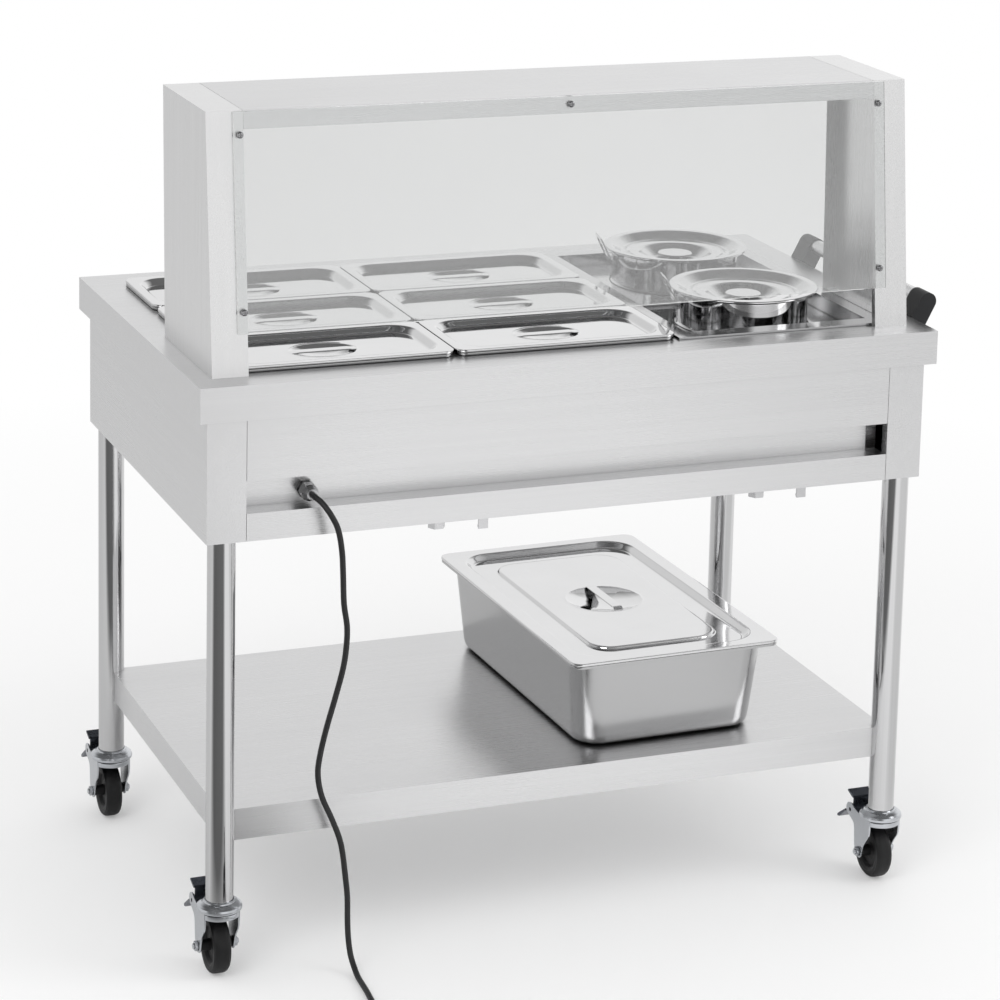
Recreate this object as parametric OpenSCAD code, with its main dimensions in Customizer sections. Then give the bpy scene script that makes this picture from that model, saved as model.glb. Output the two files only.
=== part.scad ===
// Electric steam table: stainless counter with three wells, sneeze guard, under-shelf and brake casters.
// Units are millimetres, the floor is z = 0, the customer side faces -Y.

/* [Counter] */
// Land between the outer wells and the counter ends
end_land = 50.1; // [40:0.1:150]
// Land between the wells and the long edges of the counter
side_land = 69; // [60:0.5:150]
// Height of the counter top above the floor
counter_h = 835; // [780:5:950]
// Height of the down-turned edge of the counter
fascia_h = 48; // [30:1:80]
// Sheet thickness of counter and body
sheet = 1.5; // [1:0.1:3]
// Gap between the pan bodies and the edge of a well
well_fit = 1.4; // [0.5:0.1:4]

/* [Body] */
// Distance of the body from the counter edge
body_in = 13; // [5:1:40]
// Height of the lower edge of the body above the floor
body_z = 618; // [560:1:700]
// Width of the corner strips
strip_w = 54; // [30:1:90]
// Height of the lower edge of the upper front panel
upper_z = 701; // [670:1:740]
// Height of the lower front rail
rail_h = 38; // [20:1:60]
// Depth of the cable slot
slot_d = 34; // [20:1:60]
// Gap at the right end of the slot
slot_gap = 17; // [0:1:40]

/* [Tanks] */
// Height of the tank floor above the room floor
tank_z = 645; // [630:1:700]
// Sheet thickness of the tanks
tank_t = 1.2; // [0.8:0.1:2]
// Diameter of the heater tube
heat_d = 8; // [6:0.5:12]
// Distance of the drains from the customer edge
drain_y = 131; // [90:1:300]
// Height of the tap axis
valve_z = 596; // [585:1:610]
// Outer diameter of the drain pipe
drain_d = 22; // [16:1:30]
// Bore of the drain pipe
drain_bore = 15; // [8:1:20]

/* [Legs and shelf] */
// Diameter of the leg tubes
leg_d = 38; // [30:0.5:50]
// Wall of the leg tubes
leg_t = 1.5; // [1:0.1:3]
// Distance of the leg centres from the counter ends
leg_x = 39.5; // [35:0.5:80]
// Distance of the leg centres from the counter sides
leg_y = 34; // [33:0.5:80]
// Height of the lower leg end above the floor
leg_z = 110; // [100:1:140]
// Height of the shelf surface
shelf_z = 236.5; // [200:0.5:400]
// Height of the shelf edge
shelf_edge = 44; // [25:1:60]
// Sheet thickness of the shelf
shelf_t = 1.2; // [0.8:0.1:2]

/* [Casters] */
// Wheel diameter
wheel_d = 80; // [60:1:125]
// Tread width
wheel_w = 24; // [18:1:40]
// Distance from the swivel axis to the axle
trail = 17; // [12:1:30]
// Outer radius of the fork crown
crown_r = 29; // [27:0.5:31]
// Free width between the fork cheeks, half of it
fork_x = 22.5; // [18:0.5:25]
// Thickness of the fork sheet
fork_t = 2.5; // [2:0.1:4]
// Axle diameter
axle_d = 8; // [6:0.5:12]
// Kingpin diameter
king_d = 12; // [8:0.5:16]
// Running clearance on the radius of pins
run_fit = 0.05; // [0.01:0.01:0.1]

/* [Pans] */
// Length of a one-third pan
pan_l = 325; // [320:1:330]
// Width of a one-third pan
pan_w = 176; // [170:1:180]
// Gap between two pans along the counter
col_gap = 1.6; // [1:0.1:6]
// Gap between two pans across the counter
row_gap = 2.6; // [1:0.1:6]
// Width of the pan flange
pan_flange = 12; // [8:0.5:16]
// Height of the rolled pan edge
pan_rim = 4.6; // [2:0.1:8]
// Height of the rolled lid edge
lid_rim = 3.4; // [2:0.1:6]
// Corner radius of a one-third pan body
pan_corner = 30; // [15:1:40]
// Depth of the pans in the wells
pan_d = 150; // [65:5:200]
// Thickness of pan and lid sheet
pan_t = 1; // [0.6:0.1:1.5]
// Length of the full pan on the shelf
shelf_pan_l = 530; // [500:5:600]
// Corner radius of the shelf pan body
shelf_corner = 42; // [20:1:60]
// Depth of the shelf pan
shelf_pan_d = 133; // [65:1:200]
// Turn of the shelf pan on the shelf, degrees
shelf_pan_turn = 1.4; // [-5:0.1:5]
// Gap between loose ware and the seat it stands on
seat = 0.3; // [0.1:0.05:0.5]

/* [Pots] */
// Outer diameter of the pot body
pot_d = 190; // [150:1:240]
// Outer diameter of the pot lid
pot_lid_d = 216; // [180:1:260]
// Height of the pot rim above the counter
pot_rim = 37; // [20:1:60]
// Distance between the two pots
pot_pitch = 246; // [230:1:270]
// Height of a pot
pot_h = 190; // [120:1:240]
// Recess depth of the half trays
tray_d = 15; // [8:1:25]
// Height of the tray edge
tray_rim = 3; // [1.5:0.1:6]

/* [Guard] */
// Height of the guard above the counter
guard_h = 350; // [250:5:500]
// Distance of the posts from the counter ends
post_x = 28; // [10:1:60]
// Width of a post
post_w = 50; // [30:1:80]
// Distance of the post foot from the customer edge
post_y = 43; // [20:1:80]
// Lean of the post front over its height
lean_f = 39; // [0:1:80]
// Depth of the post at its foot
post_d = 234; // [150:1:320]
// Lean of the post rear edge over its height
lean_r = 13; // [0:1:80]
// Thickness of the glass
glass_t = 5; // [4:0.5:8]
// Height of the lower glass edge above the counter
glass_z = 57; // [30:1:150]
// Overlap of the glass on each post
glass_lap = 15; // [8:1:30]

/* [Handle] */
// Distance of the near bracket from the customer edge
grip_y = 80; // [20:1:200]
// Length over both brackets
grip_l = 404; // [250:1:560]
// Thickness of a bracket along the tube
grip_t = 37; // [20:1:50]
// Radius of the bracket head
grip_r = 13; // [9:0.5:20]
// Reach of the tube centre from the counter end
grip_out = 25.5; // [15:0.5:60]
// Height of the tube centre above the counter top
grip_up = 22; // [0:0.5:60]
// Diameter of the tube
tube_d = 22; // [16:1:30]

/* [Cable] */
// Cable diameter
cable_d = 8; // [6:0.5:12]
// Position of the gland along the counter
gland_x = 158; // [100:1:300]
// Height of the gland centre
gland_z = 674; // [660:1:690]
// Radius of the coil at the middle of the cable
coil_r = 42; // [32:1:60]
// Loops in the coil
coil_n = 3; // [1:1:6]
// Rise of the coil per loop
coil_step = 8.8; // [8.5:0.1:12]

/* [Hidden] */
$fn = 48;
well_pitch = pan_l + col_gap;
row_pitch = pan_w + row_gap;
open_l = pan_l - 2 * pan_flange + 2 * well_fit;
open_w = 2 * row_pitch + pan_w - 2 * pan_flange + 2 * well_fit;
counter_l = 3 * well_pitch + 2 * end_land;
counter_w = open_w + 2 * side_land;
well_corner = 2;
weld_gap = 0.05;
tray_sheet = 1.2;
pedal_out = 90;
mid_x = (counter_l + grip_out + grip_r) / 2;
mid_y = (counter_w - leg_y + pedal_out) / 2;
top_z = counter_h;
under_z = counter_h - sheet;
well_x0 = end_land;
well_c = [well_x0 + well_pitch / 2, well_x0 + 1.5 * well_pitch, well_x0 + 2.5 * well_pitch];
cen_y = counter_w / 2;
drain_x = [well_x0 + well_pitch, well_c[2]];
leg_pos = [[leg_x, leg_y], [counter_l - leg_x, leg_y], [leg_x, counter_w - leg_y],
    [counter_l - leg_x, counter_w - leg_y]];
guard_z = counter_h + guard_h;
grip_lean = 27.5;
panel_y = body_in + slot_d;
rear_y = counter_w - body_in;
tray_lip_f = 27;
tray_lip_r = 18;
pot_drop = 5;
tray_floor = counter_h - tray_d;

module place() {
    translate([-mid_x, -mid_y, 0]) children();
}

module rr2(l, w, r) {
    square([l - 2 * r, w], center = true);
    square([l, w - 2 * r], center = true);
    for (sx = [-1, 1])
        for (sy = [-1, 1])
            translate([sx * (l / 2 - r), sy * (w / 2 - r)]) circle(r);
}

module slab(l, w, r, z) {
    translate([0, 0, z]) linear_extrude(0.01) rr2(l, w, r, $fn = 28);
}

module box(x0, y0, z0, x1, y1, z1) {
    translate([x0, y0, z0]) cube([x1 - x0, y1 - y0, z1 - z0]);
}

module yz_plate(x0, x1, pts) {
    translate([x0, 0, 0]) rotate([90, 0, 90]) linear_extrude(x1 - x0) polygon(pts);
}

module counter_top() {
    color("silver") place() {
        difference() {
            box(0, 0, top_z - fascia_h, counter_l, counter_w, top_z);
            box(sheet, sheet, top_z - fascia_h + sheet, counter_l - sheet, counter_w - sheet, under_z);
            box(body_in - seat, body_in - seat, top_z - fascia_h - 1, counter_l - body_in + seat,
                counter_w - body_in + seat, top_z - fascia_h + sheet + 1);
            for (i = [0:2])
                translate([well_c[i], cen_y, under_z - 1]) linear_extrude(sheet + 2) rr2(open_l, open_w, well_corner);
        }
    }
}

module tank(x0, x1, dx) {
    y0 = cen_y - open_w / 2 - 4;
    y1 = cen_y + open_w / 2 + 4;
    zw = tank_z + weld_gap;
    yw = tank_t + weld_gap;
    difference() {
        box(x0, y0, tank_z - tank_t, x1, y1, tank_z);
        translate([dx, drain_y, tank_z - 5]) cylinder(d = drain_bore + 1, h = 10);
    }
    box(x0, y0, zw, x1, y0 + tank_t, under_z);
    box(x0, y1 - tank_t, zw, x1, y1, under_z);
    box(x0, y0 + yw, zw, x0 + tank_t, y1 - yw, under_z);
    box(x1 - tank_t, y0 + yw, zw, x1, y1 - yw, under_z);
}

module tanks() {
    color("silver") place() {
        tank(well_c[0] - open_l / 2 - 3, well_c[1] + open_l / 2 + 3, drain_x[0]);
        tank(well_c[2] - open_l / 2 - 3, well_c[2] + open_l / 2 + 3, drain_x[1]);
    }
}

module rod(p, q, d) {
    v = q - p;
    len = norm(v);
    translate(p) rotate([0, acos(v[2] / len), atan2(v[1], v[0])]) cylinder(d = d, h = len, $fn = 16);
}

module bend2(c, r, a0, sweep, d) {
    translate(c) rotate([0, 0, a0]) rotate_extrude(angle = sweep, $fn = 32)
        translate([r, 0]) circle(d = d, $fn = 16);
}

module heater(cx) {
    z = tank_z + 12;
    hw = 90;
    y0 = cen_y - 120;
    y1 = cen_y + 190;
    rod([cx - hw, y0, z], [cx - hw, y1, z], heat_d);
    rod([cx - 30, y0, z], [cx - 30, y1 - 30, z], heat_d);
    rod([cx + 30, y0, z], [cx + 30, y1 - 30, z], heat_d);
    rod([cx + hw, y0, z], [cx + hw, y1, z], heat_d);
    bend2([cx - 60, y0, z], 30, 180, 180, heat_d);
    bend2([cx + 60, y0, z], 30, 180, 180, heat_d);
    bend2([cx, y1 - 30, z], 30, 0, 180, heat_d);
    rod([cx - hw, y1, z], [cx - hw, cen_y + open_w / 2 + 4 - tank_t - seat, z], heat_d);
    rod([cx + hw, y1, z], [cx + hw, cen_y + open_w / 2 + 4 - tank_t - seat, z], heat_d);
    for (sx = [-1, 1])
        for (yy = [y0 + 20, y1 - 60])
            translate([cx + sx * 60, yy, tank_z + 5.5]) cube([70, 10, 11], center = true);
}

module heaters() {
    color("dimgray") place() {
        for (i = [0:2]) heater(well_c[i]);
    }
}

module drain_valve(x) {
    translate([x, drain_y, 0]) difference() {
        union() {
            translate([0, 0, tank_z - tank_t - 3]) cylinder(d = 34, h = 3);
            translate([0, 0, valve_z - 11]) cylinder(d = drain_d, h = tank_z - tank_t - valve_z + 11);
            translate([0, 0, valve_z - 23]) cylinder(d = 25, h = 12, $fn = 6);
            translate([0, 0, valve_z]) rotate([90, 0, 0]) cylinder(d = 16, h = 18);
            translate([0, 0, valve_z - 8]) cylinder(d = 28, h = 16);
            translate([0, -18, valve_z]) rotate([90, 0, 0]) cylinder(d = 6, h = 8 + 2 * seat + 1);
            translate([0, -18 - 8 - 2 * seat, valve_z]) rotate([90, 0, 0]) cylinder(d = 11, h = 4, $fn = 6);
        }
        translate([0, 0, valve_z - 36]) cylinder(d = drain_bore, h = 100);
    }
}

module drain_valves() {
    color("silver") place() {
        drain_valve(drain_x[0]);
        drain_valve(drain_x[1]);
    }
}

module drain_lever(x) {
    yl = drain_y - 18 - seat;
    color("silver") place() translate([x, yl, valve_z]) {
        rotate([90, 0, 0]) difference() {
            cylinder(d = 14, h = 8);
            translate([0, 0, -1]) cylinder(r = 3 + run_fit, h = 10);
        }
        box(6, -4, -6, 58, -1.5, 6);
        box(54, -5, -24, 68, -1.5, 6);
        translate([54, -5, -22]) cube([14, 5, 3]);
    }
}

module drain_lever_left() { drain_lever(drain_x[0]); }
module drain_lever_right() { drain_lever(drain_x[1]); }

module side_panel() {
    zt = under_z;
    box(body_in, body_in, body_z, body_in + sheet, rear_y, zt);
    box(body_in, body_in, body_z, body_in + strip_w, body_in + sheet, zt);
    box(body_in + strip_w - sheet, body_in, body_z, body_in + strip_w, body_in + 15, zt);
    box(body_in, rear_y - sheet, body_z, body_in + strip_w, rear_y, zt);
}

module side_panels() {
    color("silver") place() {
        side_panel();
        translate([counter_l, 0, 0]) mirror([1, 0, 0]) side_panel();
    }
}

module upper_front_panel() {
    x0 = body_in + strip_w + 0.6;
    x1 = counter_l - x0;
    color("silver") place() {
        box(x0, body_in, upper_z, x1, body_in + sheet, under_z);
        box(x0, body_in, upper_z, x1, panel_y, upper_z + sheet);
    }
}

module inner_front_panel() {
    x0 = body_in + strip_w + 0.6;
    x1 = counter_l - body_in - strip_w - slot_gap;
    color("silver") place() difference() {
        box(x0, panel_y, body_z + sheet, x1, panel_y + sheet, under_z);
        translate([gland_x, panel_y - 1, gland_z]) rotate([-90, 0, 0]) cylinder(d = 16, h = 5);
    }
}

module front_rail() {
    x0 = body_in + strip_w + 0.6;
    x1 = counter_l - x0;
    color("silver") place() {
        box(x0, body_in, body_z, x1, body_in + sheet, body_z + rail_h);
        box(x0, body_in, body_z + rail_h - sheet, x1, panel_y, body_z + rail_h);
        box(x0, body_in, body_z, x1, panel_y, body_z + sheet);
    }
}

module bottom_cover() {
    color("silver") place() difference() {
        box(body_in + sheet, panel_y + sheet, body_z, counter_l - body_in - sheet, rear_y - sheet, body_z + sheet);
        for (p = leg_pos) translate([p[0], p[1], body_z - 1]) cylinder(d = leg_d + 2, h = 4);
        for (x = drain_x) translate([x, drain_y, body_z - 1]) cylinder(d = 44, h = 4);
    }
}

knob_x = [well_x0 + well_pitch - 40, well_c[2] - 40];
knob_z = 712;
lamp_dx = 70;

module control_panel() {
    x0 = body_in + strip_w + 0.6;
    x1 = counter_l - x0;
    color("silver") place() difference() {
        union() {
            box(x0, rear_y - sheet, body_z, x1, rear_y, under_z);
            box(x0, rear_y - 20, body_z + sheet, x1, rear_y - sheet, body_z + 2 * sheet);
        }
        for (x = knob_x) {
            translate([x, rear_y + 1, knob_z]) rotate([90, 0, 0]) cylinder(d = 6 + 2 * run_fit, h = 5);
            translate([x + lamp_dx, rear_y + 1, knob_z]) rotate([90, 0, 0]) cylinder(d = 10, h = 5);
        }
        translate([0, 0, -1]) for (p = leg_pos) translate([p[0], p[1], body_z]) cylinder(d = leg_d + 1, h = 9);
    }
}

module knob(x) {
    color("black") place() translate([x, rear_y + seat, knob_z]) rotate([-90, 0, 0]) difference() {
        union() {
            cylinder(d = 46, h = 5);
            cylinder(d = 40, h = 12);
            translate([-5, -22, 0]) cube([10, 44, 24]);
            cylinder(d = 24, h = 18);
            translate([0, 0, -12]) cylinder(d = 6, h = 14);
        }
        translate([-20, -30, 22]) rotate([20, 0, 0]) cube([40, 20, 20]);
        translate([-1, 14, 23.2]) cube([2, 10, 2]);
    }
}

module knob_left() { knob(knob_x[0]); }
module knob_right() { knob(knob_x[1]); }

module pilot_lamps() {
    color("orange") place() for (x = knob_x) {
        translate([x + lamp_dx, rear_y - 14, knob_z]) rotate([-90, 0, 0]) cylinder(d = 9.6, h = 14);
        translate([x + lamp_dx, rear_y, knob_z]) rotate([-90, 0, 0]) cylinder(d = 14, h = 2);
        translate([x + lamp_dx, rear_y + 2, knob_z]) rotate([-90, 0, 0]) cylinder(d1 = 11, d2 = 7, h = 4);
    }
}

module legs() {
    color("silver") place() for (p = leg_pos) translate([p[0], p[1], leg_z]) difference() {
        cylinder(d = leg_d, h = under_z - leg_z);
        translate([0, 0, -1]) cylinder(d = leg_d - 2 * leg_t, h = under_z - leg_z + 2);
    }
}

module under_shelf() {
    color("silver") place() difference() {
        box(leg_x, leg_y, shelf_z - shelf_edge, counter_l - leg_x, counter_w - leg_y, shelf_z);
        box(leg_x + shelf_t, leg_y + shelf_t, shelf_z - shelf_edge + shelf_t, counter_l - leg_x - shelf_t,
            counter_w - leg_y - shelf_t, shelf_z - shelf_t);
        box(leg_x + 15, leg_y + 15, shelf_z - shelf_edge - 1, counter_l - leg_x - 15,
            counter_w - leg_y - 15, shelf_z - shelf_t);
        for (p = leg_pos) translate([p[0], p[1], 0]) cylinder(d = leg_d + 0.2, h = shelf_z + 10);
    }
}

king_z = 92;
head_z = 98.4;

module caster_head() {
    ri = leg_d / 2 - leg_t - 0.1;
    rc = leg_d / 2 + seat;
    rotate_extrude() polygon([[0, king_z], [10, king_z], [10, king_z + 3], [king_d / 2, king_z + 3],
        [king_d / 2, head_z], [29, head_z], [30.6, head_z + 0.6], [31, head_z + 2], [31, head_z + 4],
        [30, head_z + 6.5], [27.5, head_z + 8.8], [24.5, leg_z - 1], [22, leg_z - 0.2], [21.5, leg_z + 1.5],
        [20.5, leg_z + 2.5], [rc, leg_z + 2.5], [rc, leg_z], [ri, leg_z], [ri, leg_z + 45],
        [ri - 2, leg_z + 47], [0, leg_z + 47]]);
}

module caster_heads() {
    color("lightgray") place() for (p = leg_pos) translate([p[0], p[1], 0]) caster_head();
}

pin_y = 48;
pin_z = 93;
crown_z = 70;
cheek_front = -sqrt(crown_r * crown_r - (fork_x + fork_t) * (fork_x + fork_t));
cheek_pts = [[cheek_front, 97.5], [cheek_front, crown_z], [-6, 66], [1, 60], [5, 52], [trail - 9, 40],
    [trail - 6, 33], [trail + 6, 33], [trail + 12, 38], [31, 50], [33, 77], [40, 79], [58, 87], [60, 97],
    [53, 103], [46, 104], [30, 99], [24, 97.5]];
arch_pts = [[-fork_x, 20], [-fork_x, crown_z], [2 - fork_x, 77], [6 - fork_x, 82], [12 - fork_x, 84],
    [fork_x - 12, 84], [fork_x - 6, 82], [fork_x - 2, 77], [fork_x, crown_z], [fork_x, 20]];

module fork_block(r, hx, z0, z1) {
    translate([0, 0, z0]) intersection() {
        cylinder(r = r, h = z1 - z0);
        translate([-hx, -r - 1, 0]) cube([2 * hx, 2 * r + 2, z1 - z0]);
    }
}

module fork(i) {
    xo = fork_x + fork_t;
    color("lightsteelblue") place() translate([leg_pos[i][0], leg_pos[i][1], 0]) {
        difference() {
            union() {
                fork_block(crown_r, xo, crown_z, head_z - 0.4);
                for (sx = [-1, 1]) translate([sx * (fork_x + fork_t / 2), 0, 0]) {
                    yz_plate(-fork_t / 2, fork_t / 2, cheek_pts);
                    translate([-fork_t / 2, trail, wheel_d / 2]) rotate([0, 90, 0]) cylinder(d = 18, h = fork_t);
                }
            }
            fork_block(crown_r - fork_t, fork_x, crown_z - 1, king_z + 3);
            translate([0, crown_r + 1, 0]) rotate([90, 0, 0]) linear_extrude(2 * crown_r + 2) polygon(arch_pts);
            translate([0, 0, 80]) cylinder(r = king_d / 2 + run_fit, h = 30);
            for (sx = [-1, 1]) translate([sx * (fork_x + fork_t / 2) - fork_t, pin_y, pin_z])
                rotate([0, 90, 0]) cylinder(r = 3 + run_fit, h = 2 * fork_t);
        }
        translate([-xo, trail, wheel_d / 2]) rotate([0, 90, 0]) cylinder(d = axle_d, h = 2 * xo);
        for (sx = [-1, 1]) translate([sx * xo, trail, wheel_d / 2]) rotate([0, sx * 90, 0]) {
            cylinder(d = 14, h = 5, $fn = 6);
            cylinder(d = axle_d, h = 7);
        }
    }
}

module fork_1() { fork(0); }
module fork_2() { fork(1); }
module fork_3() { fork(2); }
module fork_4() { fork(3); }

module wheel(i) {
    rw = wheel_d / 2;
    hw = wheel_w / 2;
    color("dimgray") place() translate([leg_pos[i][0], leg_pos[i][1] + trail, rw]) rotate([0, 90, 0])
        rotate_extrude($fn = 64) polygon(concat(wheel_half(rw, hw, -1), wheel_half(rw, hw, 1)));
}

function wheel_half(rw, hw, s) = let (
    ra = axle_d / 2 + run_fit,
    h = fork_x - 1,
    half = [[ra, h], [7.5, h], [8.5, 8], [14, 6], [23, 5.5], [26, hw - 2], [30, hw], [36, hw],
        [rw - 1.8, hw - 1.8], [rw - 0.5, hw - 4], [rw, hw - 7]],
    n = len(half) - 1)
    [for (k = [0:n]) s > 0 ? half[n - k] : [half[k][0], -half[k][1]]];

module wheel_1() { wheel(0); }
module wheel_2() { wheel(1); }
module wheel_3() { wheel(2); }
module wheel_4() { wheel(3); }

module pedal(i) {
    color("darkgray") place() translate([leg_pos[i][0], leg_pos[i][1], 0]) {
        translate([-fork_x - fork_t, pin_y, pin_z]) rotate([0, 90, 0]) cylinder(r = 3, h = 2 * (fork_x + fork_t));
        translate([-fork_x + 1, pin_y, pin_z]) rotate([0, 90, 0]) cylinder(r = 6, h = 2 * fork_x - 2);
        yz_plate(-fork_x + 1, fork_x - 1, [[43, 95], [43, 114], [45.5, 114], [46, 100], [53, 97], [66, 87],
            [64, 84], [52, 90]]);
        yz_plate(-fork_x - 1.5, fork_x + 1.5, [[42, 113], [41, 116], [58, 121], [60, 118.5], [46, 113.5]]);
        yz_plate(-fork_x - 1.5, fork_x + 1.5, [[64, 85], [65.5, 87.5], [84, 75], [pedal_out, 70.5],
            [pedal_out - 0.5, 67.5], [83, 69]]);
    }
}

module pedal_1() { pedal(0); }
module pedal_2() { pedal(1); }
module pedal_3() { pedal(2); }
module pedal_4() { pedal(3); }

rim_r = 17;
lid_fit = 1.5;
lid_in = 2 * (pan_flange + pan_t + lid_fit);

module gn_body(l, w, r, cut, z0, z1) {
    hull() {
        slab(l, w, r, z1);
        slab(l - cut, w - cut, r - 2, z0 + 16);
        slab(l - cut - 6, w - cut - 6, r - 4, z0 + 6);
        slab(l - cut - 15, w - cut - 15, r - 8, z0 + 1.5);
        slab(l - cut - 26, w - cut - 26, r - 13, z0);
    }
}

module gn_pan(l, w, depth, cut, r) {
    bl = l - 2 * pan_flange;
    bw = w - 2 * pan_flange;
    difference() {
        union() {
            difference() {
                linear_extrude(pan_rim) rr2(l - 1.4, w - 1.4, rim_r);
                translate([0, 0, -1]) linear_extrude(pan_rim + 1 - pan_t)
                    rr2(l - 1.4 - 2 * pan_t, w - 1.4 - 2 * pan_t, rim_r - pan_t);
            }
            gn_body(bl, bw, r, cut, pan_rim - depth, pan_rim - 0.01);
        }
        gn_body(bl - 2 * pan_t, bw - 2 * pan_t, r - pan_t, cut, pan_rim - depth + pan_t, pan_rim + 0.1);
    }
}

module strap(len, w, rise) {
    translate([-len / 2, -w / 2, rise - 2]) cube([len, w, 2]);
    for (sx = [-1, 1]) translate([sx * (len / 2 - 1) - 1, -w / 2, 0]) cube([2, w, rise]);
}

module bowl(l, w, z, deep, grow) {
    hull() {
        slab(l + grow, w + grow, (w + grow) / 2 - 0.1, z);
        slab(l - 10 + grow, w - 10 + grow, (w - 10 + grow) / 2 - 0.1, z - 0.55 * deep);
        slab(l - 26 + grow, w - 26 + grow, (w - 26 + grow) / 2 - 0.1, z - 0.9 * deep);
        slab(l - 40 + grow, w - 40 + grow, (w - 40 + grow) / 2 - 0.1, z - deep);
    }
}

// A lid: rolled edge, sunk panel with sloped walls, a bowl under the strap handle, and on a long lid a
// middle panel that stands up from the sunk one.
module gn_lid(l, w, rl, rw, rr, lift, dish_l, dish_w, strap_turn) {
    dp = 9;
    dd = 10;
    zp = lift - dp;
    pl = rl - 78;
    pw = rw - 88;
    difference() {
        union() {
            difference() {
                translate([0, 0, -lid_rim]) linear_extrude(lid_rim) rr2(l, w, rim_r);
                translate([0, 0, -lid_rim - 1]) linear_extrude(lid_rim + 1 - pan_t)
                    rr2(l - 2 * pan_t, w - 2 * pan_t, rim_r - pan_t);
            }
            hull() {
                slab(rl, rw, rr, -0.5);
                slab(rl - 20, rw - 14, rr - 4, -dp - pan_t);
            }
            if (lift == 0) bowl(dish_l, dish_w, zp - pan_t, dd, 0);
        }
        hull() {
            slab(rl - 2 * pan_t, rw - 2 * pan_t, rr - 1, 0.1);
            slab(rl - 14 - 2 * pan_t, rw - 9 - 2 * pan_t, rr - 3, -dp + 2);
            slab(rl - 24 - 2 * pan_t, rw - 18 - 2 * pan_t, rr - 6, -dp);
        }
        if (lift == 0) bowl(dish_l, dish_w, zp + 0.1, dd, -2 * pan_t);
        if (lift > 0) translate([0, 0, -dp - pan_t - 1]) linear_extrude(pan_t + 2)
            rr2(pl - 2 * pan_t, pw - 2 * pan_t, 33);
    }
    if (lift > 0) difference() {
        union() {
            difference() {
                translate([0, 0, -dp - pan_t]) linear_extrude(lift + pan_t) rr2(pl, pw, 34);
                translate([0, 0, -dp - pan_t - 1]) linear_extrude(lift + 1)
                    rr2(pl - 2 * pan_t, pw - 2 * pan_t, 33);
            }
            bowl(dish_l, dish_w, zp - pan_t, dd, 0);
        }
        bowl(dish_l, dish_w, zp + 0.1, dd, -2 * pan_t);
    }
    translate([0, 0, zp - 0.3]) rotate([0, 0, strap_turn]) strap(dish_l + 6, 16, 3.4);
}

module gn_cell(i) {
    c = i % 2;
    r = floor(i / 2);
    translate([well_c[c], cen_y + (r - 1) * row_pitch, top_z + seat]) children();
}

module pan(i) {
    color("silver") place() gn_cell(i) gn_pan(pan_l, pan_w, pan_d, 10, pan_corner);
}

module pan_lid(i) {
    color("gainsboro") place() gn_cell(i) translate([0, 0, pan_rim + seat + lid_rim])
        gn_lid(pan_l, pan_w, pan_l - lid_in, pan_w - lid_in, 36, 0, 96, 62, 0);
}

module pan_1() { pan(0); }
module pan_2() { pan(1); }
module pan_3() { pan(2); }
module pan_4() { pan(3); }
module pan_5() { pan(4); }
module pan_6() { pan(5); }
module pan_lid_1() { pan_lid(0); }
module pan_lid_2() { pan_lid(1); }
module pan_lid_3() { pan_lid(2); }
module pan_lid_4() { pan_lid(3); }
module pan_lid_5() { pan_lid(4); }
module pan_lid_6() { pan_lid(5); }

module tray(y0, y1, front, floor_z) {
    x0 = well_c[2] - pan_l / 2;
    x1 = well_c[2] + pan_l / 2;
    lip = 21;
    py = front ? cen_y - pot_pitch / 2 : cen_y + pot_pitch / 2;
    ya = front ? y0 + tray_lip_f : y0;
    yb = front ? y1 : y1 - tray_lip_r;
    zb = top_z + seat;
    zt = zb + tray_rim;
    t = tray_sheet;
    difference() {
        union() {
            difference() {
                box(x0, y0, zb, x1, y1, zt);
                box(x0 + t, y0 + t, zb - 1, x1 - t, y1 - t, zt - t);
            }
            box(x0 + lip, ya, floor_z - t, x1 - lip, yb, zt);
        }
        box(x0 + lip + t, front ? ya + t : ya - 1, floor_z, x1 - lip - t, front ? yb + 1 : yb - t, zt + 1);
        translate([well_c[2], py, floor_z - 5]) cylinder(d = pot_d + 2, h = 10, $fn = 96);
    }
    if (front) box(x0 + lip + t, y1 - t, floor_z - 14, x1 - lip - t, y1, floor_z);
    if (!front) box(x0 + lip + t, y0, floor_z - 12, x1 - lip - t, y0 + t, floor_z);
}

module adapter_trays() {
    y0 = cen_y - 3 * row_pitch / 2;
    y1 = cen_y + 3 * row_pitch / 2;
    color("silver") place() {
        tray(y0, cen_y - 4, true, tray_floor - pot_drop);
        tray(cen_y - 3.4, y1, false, tray_floor);
    }
}

module pot_at(rear) {
    translate([well_c[2], cen_y + (rear ? 1 : -1) * pot_pitch / 2, rear ? 0 : -pot_drop]) children();
}

module pot(rear) {
    ro = pot_d / 2;
    zr = top_z + pot_rim;
    zb = zr - pot_h;
    zs = tray_floor + seat;
    color("gainsboro") place() pot_at(rear) {
        rotate_extrude($fn = 96) polygon([[0, zb], [ro - 8, zb], [ro - 2, zb + 3], [ro, zb + 10], [ro, zs],
            [ro + 3, zs], [ro + 3, zs + 1.2], [ro, zs + 3], [ro, zr - 4], [ro + 3, zr - 1], [ro + 3, zr],
            [ro - 1.2, zr], [ro - 1.2, zb + 10], [ro - 3, zb + 4], [ro - 8, zb + 1.2], [0, zb + 1.2]]);
        for (turn = [0, 180]) rotate([0, 0, turn - 12]) pot_handle(ro, zr);
    }
}

module pot_handle(ro, zr) {
    translate([ro - 0.8, -12, zr - 17]) cube([11, 24, 6]);
    translate([ro + 9, 0, zr - 12]) rotate([0, -65, 0]) difference() {
        translate([15, 0, -1.3]) linear_extrude(2.6) rr2(38, 64, 14);
        translate([17, 0, -2]) linear_extrude(4) rr2(25, 51, 9);
    }
}

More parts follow.
